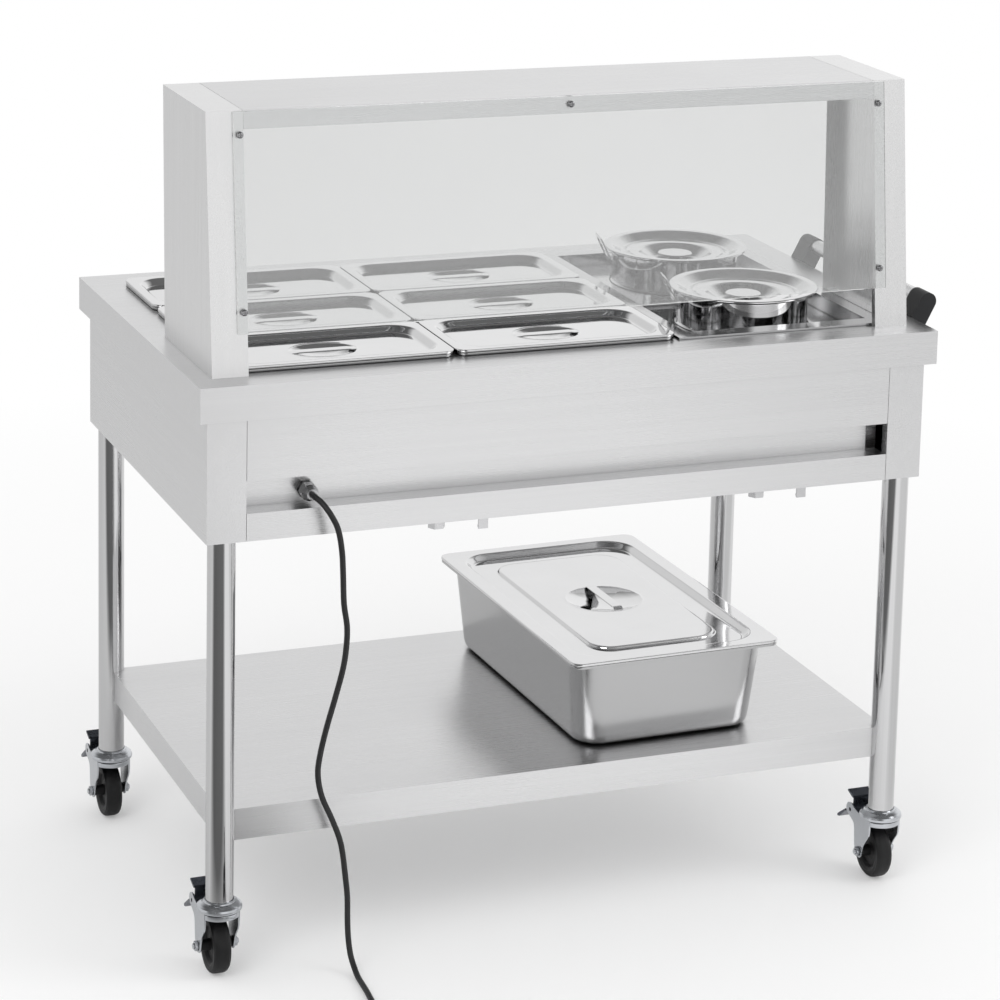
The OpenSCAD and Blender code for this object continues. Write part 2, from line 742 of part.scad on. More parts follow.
module pot_front() { pot(false); }
module pot_rear() { pot(true); }

module pot_lid(rear) {
    rl = pot_lid_d / 2;
    zr = top_z + pot_rim + seat;
    ri = pot_d / 2 - 1.2;
    zt = zr + 3;
    color("gainsboro") place() pot_at(rear) rotate_extrude($fn = 96) polygon([[0, zt - 25.2], [33, zt - 25.2],
        [38, zt - 23.6], [55, zt - 11.4], [80, zt - 10.8], [ri - 1, zr - 1.5], [ri - seat, zr], [rl - 1, zr],
        [rl, zr + 0.8], [rl, zt - 0.8], [rl - 1, zt], [ri + 4, zt], [ri + 2, zt - 0.6], [82, zt - 9.3],
        [79, zt - 9.6], [76, zt - 9.4], [73, zt - 8.2], [70, zt - 9.2], [56, zt - 9.6], [53, zt - 10.6],
        [37.5, zt - 22.4], [33, zt - 24], [12, zt - 24], [11, zt - 20], [12, zt - 17.5], [24, zt - 14],
        [26, zt - 13], [26, zt - 12.2], [25, zt - 11.6], [0, zt - 11.6]]);
}

module pot_lid_front() { pot_lid(false); }
module pot_lid_rear() { pot_lid(true); }

shelf_pan_x = 717;
shelf_pan_y = 330;

module shelf_spot() {
    translate([shelf_pan_x, shelf_pan_y, shelf_z + seat + shelf_pan_d - pan_rim]) rotate([0, 0, shelf_pan_turn])
        children();
}

module shelf_pan() {
    color("silver") place() shelf_spot() gn_pan(pan_l, shelf_pan_l, shelf_pan_d, 22, shelf_corner);
}

module shelf_lid() {
    color("gainsboro") place() shelf_spot() translate([0, 0, pan_rim + seat + lid_rim])
        gn_lid(pan_l, shelf_pan_l, pan_l - 48, shelf_pan_l - 44, 46, 4, 110, 109.9, 90);
}

function fy(z) = post_y + lean_f * (z - top_z) / guard_h;
function ry(z) = post_y + post_d + lean_r * (z - top_z) / guard_h;

module guard_post() {
    x0 = post_x;
    x1 = post_x + post_w;
    zt = guard_z;
    zb = top_z;
    yz_plate(x0, x0 + sheet, [[fy(zb), zb], [ry(zb), zb], [ry(zt), zt], [fy(zt), zt]]);
    yz_plate(x0, x1, [[fy(zb), zb], [fy(zb) + sheet, zb], [fy(zt) + sheet, zt], [fy(zt), zt]]);
    yz_plate(x1 - sheet, x1, [[fy(zb), zb], [fy(zb) + 10, zb], [fy(zt) + 10, zt], [fy(zt), zt]]);
    yz_plate(x0, x0 + 20, [[ry(zb) - sheet, zb], [ry(zb), zb], [ry(zt), zt], [ry(zt) - sheet, zt]]);
    box(x0, fy(zt), zt - sheet, x1, ry(zt), zt);
    box(x0, fy(zb) + 0.6, zb, x0 + 18, ry(zb) - 0.7, zb + 2);
}

module guard_posts() {
    color("silver") place() {
        guard_post();
        translate([counter_l, 0, 0]) mirror([1, 0, 0]) guard_post();
    }
}

module guard_shelf() {
    x0 = post_x + post_w + 0.5;
    x1 = counter_l - x0;
    zt = guard_z;
    zl = zt - 25;
    color("silver") place() {
        box(x0, fy(zt), zt - sheet, x1, ry(zt), zt);
        yz_plate(x0, x1, [[fy(zl), zl], [fy(zl) + sheet, zl], [fy(zt) + sheet, zt], [fy(zt), zt]]);
        yz_plate(x0, x1, [[fy(zl), zl], [fy(zl) + 12, zl], [fy(zl) + 12, zl + sheet], [fy(zl), zl + sheet]]);
        box(x0, ry(zt) - sheet, zl, x1, ry(zt), zt);
        box(x0, fy(zt) + 10, zl + 4, x0 + sheet, ry(zt), zt);
        box(x1 - sheet, fy(zt) + 10, zl + 4, x1, ry(zt), zt);
        box(x0 - 22, fy(zt) + 20, zt - sheet - 3, x0 + 2, ry(zt) - 30, zt - sheet);
        box(x1 - 2, fy(zt) + 20, zt - sheet - 3, x1 + 22, ry(zt) - 30, zt - sheet);
    }
}

glass_x0 = post_x + post_w - glass_lap;
screw_pos = [[post_x + post_w - 5.5, guard_z - 32], [post_x + post_w - 5.5, top_z + 85],
    [counter_l / 2, guard_z - 12.5], [counter_l - post_x - post_w + 5.5, guard_z - 32],
    [counter_l - post_x - post_w + 5.5, top_z + 85]];
lean_a = atan(lean_f / guard_h);

module guard_glass() {
    zb = top_z + glass_z;
    zt = guard_z - 1;
    color([0.8, 0.9, 0.9, 0.4]) place() difference() {
        yz_plate(glass_x0, counter_l - glass_x0, [[fy(zb) - seat - glass_t, zb], [fy(zb) - seat, zb],
            [fy(zt) - seat, zt], [fy(zt) - seat - glass_t, zt]]);
        for (p = screw_pos) translate([p[0], fy(p[1]), p[1]]) rotate([90 - lean_a, 0, 0])
            translate([0, 0, -4]) cylinder(d = 5.2, h = 16);
    }
}

module guard_screws() {
    color("dimgray") place() for (p = screw_pos) translate([p[0], fy(p[1]), p[1]]) rotate([90 - lean_a, 0, 0])
        difference() {
            union() {
                translate([0, 0, 0]) cylinder(d = 4, h = glass_t + seat + 1);
                translate([0, 0, glass_t + seat]) cylinder(d = 9.4, h = 1);
                translate([0, 0, glass_t + seat + 1]) cylinder(d1 = 8.6, d2 = 5.5, h = 2);
            }
            translate([0, 0, glass_t + seat + 3]) cube([5, 1.2, 2.2], center = true);
            translate([0, 0, glass_t + seat + 3]) cube([1.2, 5, 2.2], center = true);
        }
}

module handle_bracket() {
    s = sin(grip_lean);
    c = cos(grip_lean);
    hx = grip_out;
    hz = grip_up;
    lx = hx - grip_r * c;
    lz = hz + grip_r * s;
    rx = hx + grip_r * c;
    rz = hz - grip_r * s;
    rb = -fascia_h + 4;
    rotate([90, 0, 0]) linear_extrude(grip_t) {
        translate([hx, hz]) circle(grip_r);
        polygon([[lx, lz], [0, lz - lx * c / s], [0, rb], [rx - (rz - rb) * s / c, rb], [rx, rz]]);
    }
}

module handle_brackets() {
    color([0.15, 0.15, 0.16]) place() translate([counter_l, 0, top_z]) difference() {
        union() {
            translate([0, grip_y + grip_t, 0]) handle_bracket();
            translate([0, grip_y + grip_l, 0]) handle_bracket();
        }
        translate([grip_out, grip_y + grip_t - 12, grip_up]) rotate([-90, 0, 0])
            cylinder(d = tube_d, h = grip_l - 2 * grip_t + 24);
    }
}

module handle_tube() {
    color("whitesmoke") place() translate([counter_l + grip_out, grip_y + grip_t - 12, top_z + grip_up])
        rotate([-90, 0, 0]) difference() {
            cylinder(d = tube_d, h = grip_l - 2 * grip_t + 24);
            translate([0, 0, -1]) cylinder(d = tube_d - 3, h = grip_l - 2 * grip_t + 26);
        }
}

gland_out = 33;

module cable_gland() {
    color("silver") place() translate([gland_x, panel_y, gland_z]) rotate([90, 0, 0]) difference() {
        union() {
            translate([0, 0, -7]) cylinder(d = 15.6, h = 8);
            translate([0, 0, -4.8]) cylinder(d = 24, h = 3, $fn = 6);
            cylinder(d = 27, h = 5, $fn = 6);
            translate([0, 0, 5]) cylinder(d = 20, h = 8);
            translate([0, 0, 11]) cylinder(d = 25, h = 12, $fn = 6);
            translate([0, 0, 11]) cylinder(d = 22.5, h = 14);
            translate([0, 0, 25]) cylinder(d1 = 22.5, d2 = 14, h = gland_out - 25);
        }
        translate([0, 0, -10]) cylinder(d = cable_d, h = gland_out + 6);
    }
}

cord_pts = [[158, 14, 674], [159, 4, 673.5], [164, -12, 669], [172, -24, 656], [181, -28, 636], [187, -27, 605],
    [190, -24, 571], [193, -20, 530], [199, -16, 497], [200, -12, 469], [197, -9, 437], [188, -6, 397],
    [176, -3, 350], [168, -1, 311], [166, 0, 284], [172, 0, 253], [187, 0, 218], [200, 0, 181], [207, 0, 132],
    [210, 0, 104], [211, 1, 72], [212, 0, 46], [213, -8, 23], [214, -24, 9], [213, -44, 4.2], [211, -80, 4],
    [208, -115, 4], [205, -155, 4], [203, -200, 4], [202, -255, 4]];
coil_cx = 202 - coil_r;
coil_cy = -255;
coil_top = 4 + coil_n * coil_step;
tail_pts = [[202, -255, coil_top], [203, -271, coil_top - 0.4], [207, -288, coil_top - 3],
    [211, -305, coil_top - 9], [213, -323, coil_top - 18], [213, -342, 6], [213, -361, 4]];

function cat_at(p, i, u) = let (
    n = len(p) - 1,
    a = p[max(i - 1, 0)],
    b = p[i],
    c = p[min(i + 1, n)],
    d = p[min(i + 2, n)])
    0.5 * (2 * b + (c - a) * u + (2 * a - 5 * b + 4 * c - d) * u * u + (3 * b - a - 3 * c + d) * u * u * u);
function above(v) = [v[0], v[1], max(v[2], cable_d / 2)];
function path_of(p, per) = concat([for (i = [0:len(p) - 2]) for (k = [0:per - 1]) above(cat_at(p, i, k / per))],
    [p[len(p) - 1]]);
function near(p, a, b) = let (v = b - a, u = max(0, min(1, ((p - a) * v) / (v * v)))) norm(p - a - u * v);
function unit(v) = v / norm(v);
function tan_at(q, i) = unit(q[min(i + 1, len(q) - 1)] - q[max(i - 1, 0)]);
function side_of(t, s) = unit(s - (s * t) * t);
function sides(q, i, s) = i >= len(q) ? [] : let (n = side_of(tan_at(q, i), s)) concat([n], sides(q, i + 1, n));

module tube_along(q, d, m, s0, t0, t1) {
    n = len(q);
    tt = [for (i = [0:n - 1]) i == 0 ? t0 : (i == n - 1 ? t1 : tan_at(q, i))];
    ss = sides(q, 0, s0);
    pts = [for (i = [0:n - 1]) let (s = unit(ss[i] - (ss[i] * tt[i]) * tt[i]), b = cross(tt[i], s))
        for (k = [0:m - 1]) q[i] + d / 2 * (cos(360 * k / m) * s + sin(360 * k / m) * b)];
    faces = concat([[for (k = [0:m - 1]) m - 1 - k]],
        [for (i = [0:n - 2]) for (k = [0:m - 1])
            [i * m + k, i * m + (k + 1) % m, (i + 1) * m + (k + 1) % m, (i + 1) * m + k]],
        [[for (k = [0:m - 1]) (n - 1) * m + k]]);
    polyhedron(pts, faces, convexity = 10);
}

function path_len(q) = len(q) < 2 ? 0 : let (s = [for (i = [1:len(q) - 1]) norm(q[i] - q[i - 1])])
    s * [for (i = [1:len(q) - 1]) 1];

cord_path = path_of(cord_pts, 2);
coil_path = [for (k = [0:24 * coil_n]) let (a = -k * 15)
    [coil_cx + coil_r * cos(a), coil_cy + coil_r * sin(a), 4 + coil_step * k / 24]];
tail_path = path_of(tail_pts, 2);
coil_all = concat([for (k = [0:24 * coil_n - 1]) coil_path[k]], tail_path);

module power_cord() {
    color("black") place() tube_along(cord_path, cable_d, 10, [1, 0, 0], [0, -1, 0], unit([-1, -60, 0]));
}

module cord_coil() {
    gaps = [for (i = [0:len(coil_all) - 13]) for (j = [i + 11:len(coil_all) - 2])
        min(near(coil_all[i], coil_all[j], coil_all[j + 1]),
            near(coil_all[j], coil_all[i], coil_all[i + 1])) - cable_d];
    echo(coil_gap = min(gaps), cord_len = path_len(cord_path), coil_len = path_len(coil_all));
    color("black") place() tube_along(coil_all, cable_d, 6, [1, 0, 0], unit([-1, -60, 0]), [0, -1, 0]);
}

module cord_plug() {
    color("black") place() translate(tail_pts[len(tail_pts) - 1]) rotate([90, 0, 0]) difference() {
        union() {
            cylinder(d = 8, h = 4);
            cylinder(d = 13, h = 22);
            translate([0, 9, 22]) cylinder(d = 26, h = 20);
            translate([0, 9, 42]) cylinder(d = 37, h = 12);
            translate([-7, 2.5, 14]) cube([14, 13, 10]);
            for (sx = [-1, 1]) translate([sx * 9.5, 9, 54]) cylinder(d = 4.8, h = 19);
        }
        translate([-30, -34, -1]) cube([60, 30, 100]);
    }
}

module cord_tie() {
    color("gray") place() translate([coil_cx - coil_r, coil_cy, 4 + coil_n * coil_step / 2]) difference() {
        cube([cable_d + 3, 6, coil_n * coil_step + cable_d - 2], center = true);
        cube([cable_d + 0.8, 8, coil_n * coil_step + cable_d - 4.4], center = true);
    }
}

counter_top();
tanks();
heaters();
drain_valves();
drain_lever_left();
drain_lever_right();
side_panels();
upper_front_panel();
inner_front_panel();
front_rail();
bottom_cover();
control_panel();
knob_left();
knob_right();
pilot_lamps();
legs();
under_shelf();
caster_heads();
fork_1();
fork_2();
fork_3();
fork_4();
wheel_1();
wheel_2();
wheel_3();
wheel_4();
pedal_1();
pedal_2();
pedal_3();
pedal_4();
pan_1();
pan_2();
pan_3();
pan_4();
pan_5();
pan_6();
pan_lid_1();
pan_lid_2();
pan_lid_3();
pan_lid_4();
pan_lid_5();
pan_lid_6();
adapter_trays();
pot_front();
pot_rear();
pot_lid_front();
pot_lid_rear();
shelf_pan();
shelf_lid();
guard_posts();
guard_shelf();
guard_glass();
guard_screws();
handle_brackets();
handle_tube();
cable_gland();
power_cord();
cord_coil();
cord_plug();
cord_tie();
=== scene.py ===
import bpy
import math
from mathutils import Matrix, Vector


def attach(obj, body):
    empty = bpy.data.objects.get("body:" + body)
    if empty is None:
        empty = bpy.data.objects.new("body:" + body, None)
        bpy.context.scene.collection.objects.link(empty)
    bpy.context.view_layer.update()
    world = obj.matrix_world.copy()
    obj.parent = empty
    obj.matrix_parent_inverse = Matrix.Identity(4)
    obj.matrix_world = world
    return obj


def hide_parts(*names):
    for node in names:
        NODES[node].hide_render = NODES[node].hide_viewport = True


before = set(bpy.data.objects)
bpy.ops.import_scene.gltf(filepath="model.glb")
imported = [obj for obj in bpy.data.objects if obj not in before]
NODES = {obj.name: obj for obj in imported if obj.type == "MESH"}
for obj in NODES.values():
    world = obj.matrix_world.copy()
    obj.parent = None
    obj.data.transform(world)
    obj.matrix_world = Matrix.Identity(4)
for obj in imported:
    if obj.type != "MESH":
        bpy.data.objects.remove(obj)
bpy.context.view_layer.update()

# Driving sizes of the table, in millimetres from the counter's front left corner and the floor.
# SEAT is the gap that the solids leave where one piece rests on another. POT_RIM is over the counter,
# and the front pot sits lower than the rear one by POT_DROP.
COUNTER_L, COUNTER_W, COUNTER_H = 1080, 650, 835
END_LAND = 50.1
WELL_PITCH = 326.6
ROW_PITCH = 178.6
PAN_L, PAN_W, PAN_DEPTH = 325, 176, 150
FULL_PAN_L, FULL_PAN_DEPTH = 530, 133
SHELF_Z = 236.5
LEG_X, LEG_Y = 39.5, 34
POT_R, POT_H, POT_RIM = 95, 190, 37
POT_PITCH, POT_DROP = 246, 5
TRAY_FLOOR_Z = 820
SEAT = 0.3

# The middle of the part's frame, in metres from the same corner.
MID_X, MID_Y = 0.55925, 0.353


def at(x, y, z):
    """Millimetres from the counter's front left corner to metres in the part's frame."""
    return Vector((x / 1000 - MID_X, y / 1000 - MID_Y, z / 1000))


def added(name, data):
    """A new object for this data, in the scene."""
    made = bpy.data.objects.new(name, data)
    bpy.context.scene.collection.objects.link(made)
    return made


# Camera: the view that the photograph was taken from, for a 1000 x 1000 image.
IMAGE_PX = 1000
FOCAL_PX = 3381.6
CENTRE_X_PX, CENTRE_Y_PX = 599.3, 128.9
SENSOR_MM = 36
YAW, PITCH, ROLL = (math.radians(angle) for angle in (22.719, 10.839, 1.574))
EYE = at(-1169.9, -4109.4, 2005.4)


def photo_camera():
    """A pinhole camera with the lens shift of the photograph."""
    data = bpy.data.cameras.new("photo_camera")
    data.sensor_width = SENSOR_MM
    data.sensor_fit = "HORIZONTAL"
    data.lens = FOCAL_PX * SENSOR_MM / IMAGE_PX
    data.shift_x = (IMAGE_PX / 2 - CENTRE_X_PX) / IMAGE_PX
    data.shift_y = (CENTRE_Y_PX - IMAGE_PX / 2) / IMAGE_PX
    data.clip_end = 100
    ahead = Vector((math.sin(YAW) * math.cos(PITCH), math.cos(YAW) * math.cos(PITCH), -math.sin(PITCH)))
    level = Vector((math.cos(YAW), -math.sin(YAW), 0))
    rise = level.cross(ahead)
    right = level * math.cos(ROLL) + rise * math.sin(ROLL)
    up = rise * math.cos(ROLL) - level * math.sin(ROLL)
    camera = added("photo_camera", data)
    camera.matrix_world = Matrix.Translation(EYE) @ Matrix((right, up, -ahead)).transposed().to_4x4()
    return camera


bpy.context.scene.camera = photo_camera()

# Cable: one curve from the gland down to the floor, into its coil and on to the plug, in millimetres.
# Where it lies on the floor, its middle is at LIE_Z.
CABLE_R = 3.98
LIE_Z = 4
HANGING = [(158, 14, 674), (159, 4, 673.5), (164, -12, 669), (172, -24, 656), (181, -28, 636),
           (187, -27, 605), (190, -24, 571), (193, -20, 530), (199, -16, 497), (200, -12, 469),
           (197, -9, 437), (188, -6, 397), (176, -3, 350), (168, -1, 311), (166, 0, 284), (172, 0, 253),
           (187, 0, 218), (200, 0, 181), (207, 0, 132), (210, 0, 104), (211, 1, 72), (212, 0, 46),
           (213, -8, 23), (214, -24, 9), (213, -44, 4.2), (211, -80, 4), (208, -115, 4), (205, -155, 4),
           (203, -200, 4), (202, -255, 4)]
COIL_R, COIL_TURNS, COIL_RISE = 42, 3, 8.8
COIL_START = (202, -255)
COIL_TOP = LIE_Z + COIL_TURNS * COIL_RISE
TAIL = [(*COIL_START, COIL_TOP), (203, -271, COIL_TOP - 0.4), (207, -288, COIL_TOP - 3),
        (211, -305, COIL_TOP - 9), (213, -323, COIL_TOP - 18), (213, -342, 6), (213, -361, 4)]
STEPS_A_SPAN = 4
STEPS_A_TURN = 36


def between(p, i, u):
    """The point at share u of the way from point i to the next, on a smooth curve over the floor."""
    a, b, c, d = p[max(i - 1, 0)], p[i], p[min(i + 1, len(p) - 1)], p[min(i + 2, len(p) - 1)]
    q = [0.5 * (2 * b[k] + (c[k] - a[k]) * u + (2 * a[k] - 5 * b[k] + 4 * c[k] - d[k]) * u * u
                + (3 * b[k] - a[k] - 3 * c[k] + d[k]) * u ** 3) for k in range(3)]
    q[2] = max(q[2], LIE_Z)
    return q


def smooth(p):
    """A run of points with steps between each two, and the last point."""
    inner = [between(p, i, k / STEPS_A_SPAN) for i in range(len(p) - 1) for k in range(STEPS_A_SPAN)]
    return inner + [list(p[-1])]


def coil():
    """Turns that climb one on the other, from the floor to the tail."""
    x, y = COIL_START
    points = []
    for k in range(1, STEPS_A_TURN * COIL_TURNS):
        angle = -2 * math.pi * k / STEPS_A_TURN
        points.append((x - COIL_R + COIL_R * math.cos(angle), y + COIL_R * math.sin(angle),
                       LIE_Z + COIL_RISE * k / STEPS_A_TURN))
    return points


def cable_object(points):
    """A round curve. Its thickness is the points' radius, because a curve's bounds count that radius."""
    curve = bpy.data.curves.new("cable", "CURVE")
    curve.dimensions = "3D"
    curve.bevel_depth = 1
    curve.bevel_resolution = 5
    curve.use_fill_caps = True
    spline = curve.splines.new("POLY")
    spline.points.add(len(points) - 1)
    for point, spot in zip(spline.points, points):
        point.co = (*spot, 1)
        point.radius = CABLE_R / 1000
    spline.use_smooth = True
    return added("cable", curve)


route = [at(*p) for p in smooth(HANGING) + coil() + smooth(TAIL)]
cable = cable_object(route)
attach(cable, "table")
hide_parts("power_cord", "cord_coil")


# Shader trees
class Tree:
    """Adds and joins shader nodes with little writing."""

    def __init__(self, owner):
        owner.use_nodes = True
        self.tree = owner.node_tree
        self.tree.nodes.clear()

    def new(self, kind, operation=None, **inputs):
        node = self.tree.nodes.new("ShaderNode" + kind)
        if operation:
            node.operation = operation
        for key, value in inputs.items():
            self.set(node, key.replace("_", " "), value)
        return node

    def set(self, node, key, value):
        """Joins a socket to this input, or writes a constant on it."""
        if hasattr(value, "node"):
            self.tree.links.new(value, node.inputs[key])
        else:
            node.inputs[key].default_value = value

    def filled(self, kind, operation, *values):
        """A node with its inputs filled in order."""
        node = self.new(kind, operation)
        for place, value in enumerate(values):
            self.set(node, place, value)
        return node

    def number(self, operation, a, b):
        return self.filled("Math", operation, a, b).outputs[0]

    def mix(self, share, low, high):
        """Two shaders, with the second one's share from 0 to 1."""
        return self.filled("MixShader", None, share, low, high).outputs[0]

    def coords(self, scale):
        place = self.new("TexCoord").outputs["Object"]
        return self.new("Mapping", Vector=place, Scale=scale).outputs[0]

    def noise(self, scale, place, detail=3.0, rough=0.6):
        node = self.new("TexNoise", Vector=place, Scale=scale, Detail=detail, Roughness=rough)
        return node.outputs["Fac"]

    def span(self, value, low, high, start=0.3, end=0.7):
        """Runs from low to high while the value goes from start to end."""
        node = self.new("MapRange", Value=value, From_Min=start, From_Max=end, To_Min=low, To_Max=high)
        return node.outputs[0]

    def ramp(self, value, low, high):
        """A colour between two stops, each a position and a tone."""
        node = self.new("ValToRGB", Fac=value)
        for stop, (position, tone) in zip(node.color_ramp.elements, (low, high)):
            stop.position = position
            stop.color = (*tone, 1)
        return node.outputs[0]

    def bump(self, height, strength, distance):
        return self.new("Bump", Height=height, Strength=strength, Distance=distance).outputs[0]

    def painted_gap_shade(self, colour, reach, depth):
        """Painted shade: darkens a colour in narrow gaps and tight corners, standing in for the shade that
        falls there.
        """
        gap = self.new("AmbientOcclusion", Distance=reach)
        gap.samples = 6
        shade = self.span(gap.outputs["AO"], 1.0 - depth, 1.0, 0.25, 0.8)
        scaled = self.new("VectorMath", "SCALE", Scale=shade)
        self.set(scaled, 0, colour)
        return scaled.outputs[0]


class Paint(Tree):
    """A material with one Principled shader."""

    def __init__(self, name):
        self.material = bpy.data.materials.new(name)
        super().__init__(self.material)
        self.out = self.new("OutputMaterial")
        self.shader = self.new("BsdfPrincipled")
        self.set(self.out, "Surface", self.shader.outputs[0])

    def use(self, **inputs):
        """Fills the shader's inputs and gives the material."""
        for key, value in inputs.items():
            self.set(self.shader, key.replace("_", " "), value)
        return self.material

    def use_mixed(self, share, low, high):
        """Puts a mix of two shaders on the output and gives the material."""
        self.set(self.out, "Surface", self.mix(share, low, high))
        return self.material


def toned(tone, factor):
    return tuple(min(c * factor, 1) for c in tone)


# Materials
EVEN = (1, 1, 1)
WHITE = (1, 1, 1, 1)


def brushed(name, along, tone, rough=(0.26, 0.32), gap_shade_depth=0.3):
    """Brushed sheet: fine grain lines along one axis, faint handling marks."""
    t = Paint(name)
    fine = [4 if axis == along else 1600 for axis in "xyz"]
    wide = [1.2 if axis == along else 90 for axis in "xyz"]
    grain = t.noise(1.0, t.coords(fine), 2.0)
    streak = t.noise(1.0, t.coords(wide), 3.0)
    cloud = t.noise(3.2, t.coords(EVEN), 4.0, 0.55)
    mixed = t.number("ADD", t.number("MULTIPLY", grain, 0.6), t.number("MULTIPLY", streak, 0.4))
    tones = t.ramp(mixed, (0.36, toned(tone, 0.975)), (0.64, toned(tone, 1.02)))
    roughness = t.number("ADD", t.span(grain, *rough), t.span(cloud, -0.02, 0.02))
    # The base colour carries painted shade in narrow gaps and corners, as deep as the last argument says.
    return t.use(Base_Color=t.painted_gap_shade(tones, 0.010, gap_shade_depth), Metallic=1.0, Roughness=roughness,
                 Normal=t.bump(grain, 0.05, 0.0002))


def polished(name, tone, rough, wave):
    """Bright rolled ware: near mirror, slight waviness, cloudy wipe marks."""
    t = Paint(name)
    cloud = t.noise(9.0, t.coords(EVEN), 4.0, 0.6)
    fine = t.noise(160.0, t.coords(EVEN), 3.0, 0.6)
    soft = t.noise(16.0, t.coords(EVEN), 1.0, 0.4)
    tones = t.ramp(cloud, (0.3, toned(tone, 0.96)), (0.7, tone))
    roughness = t.number("ADD", t.span(cloud, *rough), t.span(fine, -0.01, 0.01))
    # The base colour carries painted shade in narrow gaps and corners.
    return t.use(Base_Color=t.painted_gap_shade(tones, 0.007, 0.75), Metallic=1.0, Roughness=roughness,
                 Normal=t.bump(soft, wave, 0.004))


def satin(name, tone, rough=(0.17, 0.23)):
    """Drawn ware with a soft sheen and a faint upright grain."""
    t = Paint(name)
    grain = t.noise(1.0, t.coords((900, 900, 8)), 2.0)
    cloud = t.noise(6.0, t.coords(EVEN), 3.0)
    tones = t.ramp(grain, (0.3, toned(tone, 0.975)), (0.7, tone))
    roughness = t.number("ADD", t.span(grain, *rough), t.span(cloud, -0.015, 0.02))
    # The base colour carries painted shade in narrow gaps and corners.
    return t.use(Base_Color=t.painted_gap_shade(tones, 0.009, 0.75), Metallic=1.0, Roughness=roughness,
                 Normal=t.bump(grain, 0.04, 0.0002))


def tube_metal(name, tone, rough=(0.05, 0.10)):
    """Drawn tube: a faint grain along its length."""
    t = Paint(name)
    grain = t.noise(1.0, t.coords((700, 700, 6)), 2.0)
    cloud = t.noise(7.0, t.coords((1, 1, 0.4)), 3.0)
    roughness = t.number("ADD", t.span(grain, *rough), t.span(cloud, -0.02, 0.03))
    tones = t.ramp(grain, (0.3, toned(tone, 0.95)), (0.7, tone))
    return t.use(Base_Color=tones, Metallic=1.0, Roughness=roughness, Normal=t.bump(grain, 0.05, 0.0003))


def plated(name, tone, rough=(0.18, 0.32)):
    """Plated fittings: cloudy, finely specked metal."""
    t = Paint(name)
    cloud = t.noise(45.0, t.coords(EVEN), 4.0, 0.65)
    speck = t.noise(900.0, t.coords(EVEN), 2.0)
    tones = t.ramp(cloud, (0.3, toned(tone, 0.93)), (0.75, tone))
    roughness = t.number("ADD", t.span(cloud, *rough), t.span(speck, -0.02, 0.02))
    # The base colour carries painted shade in narrow gaps and corners.
    return t.use(Base_Color=t.painted_gap_shade(tones, 0.02, 0.9), Metallic=1.0, Roughness=roughness,
                 Normal=t.bump(speck, 0.05, 0.0002))


def plastic(name, tone, rough=(0.38, 0.52), bump=0.2):
    """Moulded plastic or rubber with a fine cell."""
    t = Paint(name)
    cell = t.noise(1400.0, t.coords(EVEN), 2.0)
    cloud = t.noise(20.0, t.coords(EVEN), 3.0)
    colour = t.ramp(cloud, (0.3, toned(tone, 0.85)), (0.7, toned(tone, 1.1)))
    return t.use(Base_Color=colour, Roughness=t.span(cell, *rough), Specular_IOR_Level=0.35,
                 Normal=t.bump(cell, bump, 0.0003))


def glass(name):
    """Clear pane with the strong sheen that bright studio walls give it."""
    t = Paint(name)
    smear = t.noise(6.0, t.coords(EVEN), 4.0, 0.6)
    colour = t.ramp(smear, (0.2, (0.80, 0.807, 0.805)), (0.8, (0.815, 0.822, 0.82)))
    t.use(Base_Color=colour, Roughness=t.span(smear, 0.0, 0.02), IOR=2.2, Transmission_Weight=1.0)
    clear = t.new("BsdfTransparent", Color=(0.95, 0.955, 0.954, 1))
    path = t.new("LightPath")
    seen = t.number("MAXIMUM", path.outputs["Is Camera Ray"], path.outputs["Is Transmission Ray"])
    return t.use_mixed(seen, clear.outputs[0], t.shader.outputs[0])


STEEL = (0.73, 0.73, 0.735)
LOOKS = {
    "sheet_x": brushed("sheet_grain_x", "x", STEEL),
    "sheet_y": brushed("sheet_grain_y", "y", STEEL),
    "sheet_z": brushed("sheet_grain_z", "z", (0.82, 0.82, 0.822), gap_shade_depth=0),
    "cap": brushed("guard_cap", "x", STEEL, gap_shade_depth=0),
    "ware": polished("bright_ware", (0.76, 0.76, 0.765), (0.04, 0.08), 0.03),
    "satin": satin("satin_ware", (0.50, 0.50, 0.504)),
    "pot": polished("pot_ware", (0.72, 0.72, 0.725), (0.03, 0.07), 0.02),
    "tray": polished("tray_sheet", (0.62, 0.62, 0.625), (0.09, 0.15), 0.02),
    "screw": plated("screw_head", (0.42, 0.42, 0.43), (0.12, 0.2)),
    "tube": tube_metal("leg_tube", (0.66, 0.66, 0.665)),
    "fitting": plated("plated_fitting", (0.66, 0.66, 0.67)),
    "zinc": plated("zinc_plate", (0.62, 0.64, 0.67), (0.14, 0.24)),
    "pedal": plated("pedal_plate", (0.12, 0.13, 0.155), (0.2, 0.35)),
    "heater": plated("heater_sheath", (0.16, 0.15, 0.145), (0.4, 0.6)),
    "grip": tube_metal("grip_tube", (0.78, 0.78, 0.785), (0.22, 0.32)),
    "rubber": plastic("black_rubber", (0.006, 0.006, 0.0065), (0.4, 0.6), 0.5),
    "bracket": plastic("black_bracket", (0.013, 0.0135, 0.015), (0.42, 0.55), 0.3),
    "knob": plastic("black_knob", (0.02, 0.02, 0.021), (0.3, 0.42), 0.15),
    "cord": plastic("black_cord", (0.02, 0.02, 0.021), (0.42, 0.55), 0.2),
    "tie": plastic("tie_strap", (0.06, 0.06, 0.062)),
    "lamp": plastic("amber_lens", (0.75, 0.22, 0.02), (0.08, 0.15), 0.05),
    "glass": glass("clear_pane"),
}
